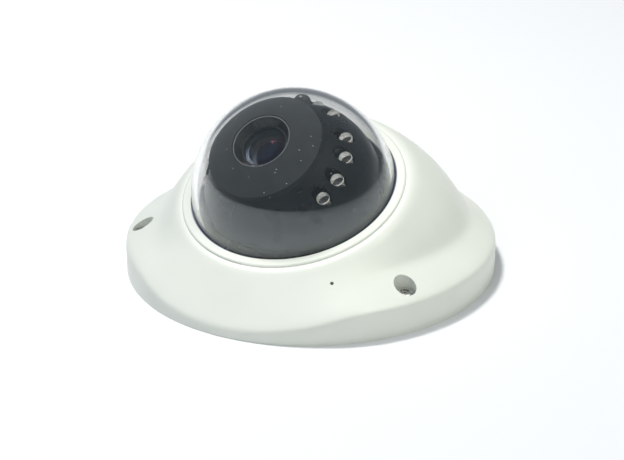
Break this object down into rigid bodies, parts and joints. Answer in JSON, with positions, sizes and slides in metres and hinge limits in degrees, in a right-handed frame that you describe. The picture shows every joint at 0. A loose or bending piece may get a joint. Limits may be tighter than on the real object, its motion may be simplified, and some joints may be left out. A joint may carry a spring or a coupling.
{
  "type": "dome security camera",
  "caption": "Low round ceiling camera: saucer cover with a forward-leaning bell and clear dome, over an infrared camera ball on a pan and tilt yoke.",
  "frame": {"origin": "centre of the round base, on the mounting surface", "axes": "+Z out of the mounting surface, -Y towards the front, the way the dome leans, +X to the right seen from above with the front towards the viewer"},
  "size_m": [0.15, 0.15, 0.0761],
  "materials": {
    "cover": "satin powder coat",
    "dome_bubble": "clear polycarbonate, glossy",
    "dome_seal": "matte",
    "dome_clamp_ring": "plain",
    "clamp_ring_screws": "zinc plated",
    "cover_screws": "bright nickel plated",
    "screw_seals": "matte",
    "base_plate": "die cast",
    "rim_seal": "matte foam",
    "cable_grommet": "matte",
    "main_board": "green solder mask",
    "board_screws": "zinc plated",
    "processor_chip": "moulded",
    "heat_sink": "anodised",
    "board_sockets": "moulded nylon",
    "board_capacitors": "sleeved can",
    "microphone": "pressed can",
    "microphone_boot": "matte",
    "turntable_keeper": "moulded",
    "keeper_screws": "zinc plated",
    "turntable": "moulded",
    "yoke": "black zinc",
    "yoke_screws": "zinc plated",
    "friction_washers": "nylon",
    "ball_housing": "moulded, fine texture",
    "foam_ring": "closed-cell foam",
    "led_board": "solder mask",
    "infrared_leds": "clear epoxy over a bright cup",
    "photocell": "dark lens",
    "lens_carrier": "glass filled nylon",
    "pivot_screws": "shoulder screw",
    "carrier_screws": "zinc plated",
    "lens_seat": "moulded",
    "seat_clip": "spring steel",
    "focus_lock_ring": "turned",
    "sensor_board": "solder mask",
    "image_sensor": "cover glass",
    "sensor_socket": "moulded nylon",
    "sensor_board_screws": "zinc plated",
    "filter_rails": "moulded",
    "filter_coil": "wound copper",
    "filter_frame": "moulded",
    "infrared_filter": "blue-green coated glass",
    "clear_filter": "clear glass",
    "lens_barrel": "black anodised",
    "lens_bezel": "black anodised, bright rim",
    "front_lens": "coated glass",
    "rear_lens": "coated glass"
  },
  "bodies": {
    "base": {"cover": "cover", "dome_bubble": "dome_bubble", "dome_seal": "dome_seal", "dome_clamp_ring": "dome_clamp_ring", "clamp_ring_screws": "clamp_ring_screws", "cover_screws": "cover_screws", "screw_seals": "screw_seals", "base_plate": "base_plate", "rim_seal": "rim_seal", "cable_grommet": "cable_grommet", "main_board": "main_board", "board_screws": "board_screws", "processor_chip": "processor_chip", "heat_sink": "heat_sink", "board_sockets": "board_sockets", "board_capacitors": "board_capacitors", "microphone": "microphone", "microphone_boot": "microphone_boot", "turntable_keeper": "turntable_keeper", "keeper_screws": "keeper_screws"},
    "pan": {"turntable": "turntable", "yoke": "yoke", "yoke_screws": "yoke_screws", "friction_washers": "friction_washers"},
    "ball": {"ball_housing": "ball_housing", "foam_ring": "foam_ring", "led_board": "led_board", "infrared_leds": "infrared_leds", "photocell": "photocell", "lens_carrier": "lens_carrier", "pivot_screws": "pivot_screws", "carrier_screws": "carrier_screws"},
    "lens_module": {"lens_seat": "lens_seat", "seat_clip": "seat_clip", "focus_lock_ring": "focus_lock_ring", "sensor_board": "sensor_board", "image_sensor": "image_sensor", "sensor_socket": "sensor_socket", "sensor_board_screws": "sensor_board_screws", "filter_rails": "filter_rails", "filter_coil": "filter_coil"},
    "filter": {"filter_frame": "filter_frame", "infrared_filter": "infrared_filter", "clear_filter": "clear_filter"},
    "focus": {"lens_barrel": "lens_barrel", "lens_bezel": "lens_bezel", "front_lens": "front_lens", "rear_lens": "rear_lens"}
  },
  "joints": [
    {"name": "pan_turn", "type": "hinge", "parent": "base", "child": "pan", "pos_m": [0, -0.01365, 0.0034], "axis": [0, 0, 1], "range_deg": [-172, 172]},
    {"name": "tilt_turn", "type": "hinge", "parent": "pan", "child": "ball", "pos_m": [0, -0.01365, 0.03557], "axis": [0.9912, -0.1323, 0], "range_deg": [-37.4, 32]},
    {"name": "lens_turn", "type": "hinge", "parent": "ball", "child": "lens_module", "pos_m": [0, -0.01365, 0.03557], "axis": [-0.0803, -0.602, 0.7944], "range_deg": [-175, 175]},
    {"name": "focus_turn", "type": "hinge", "parent": "lens_module", "child": "focus", "pos_m": [0, -0.01365, 0.03557], "axis": [-0.0803, -0.602, 0.7944], "range_deg": [-180, 180]},
    {"name": "filter_slide", "type": "slide", "parent": "lens_module", "child": "filter", "axis": [-0.9912, 0.1323, 0], "range_m": [0, 0.0073]}
  ]
}
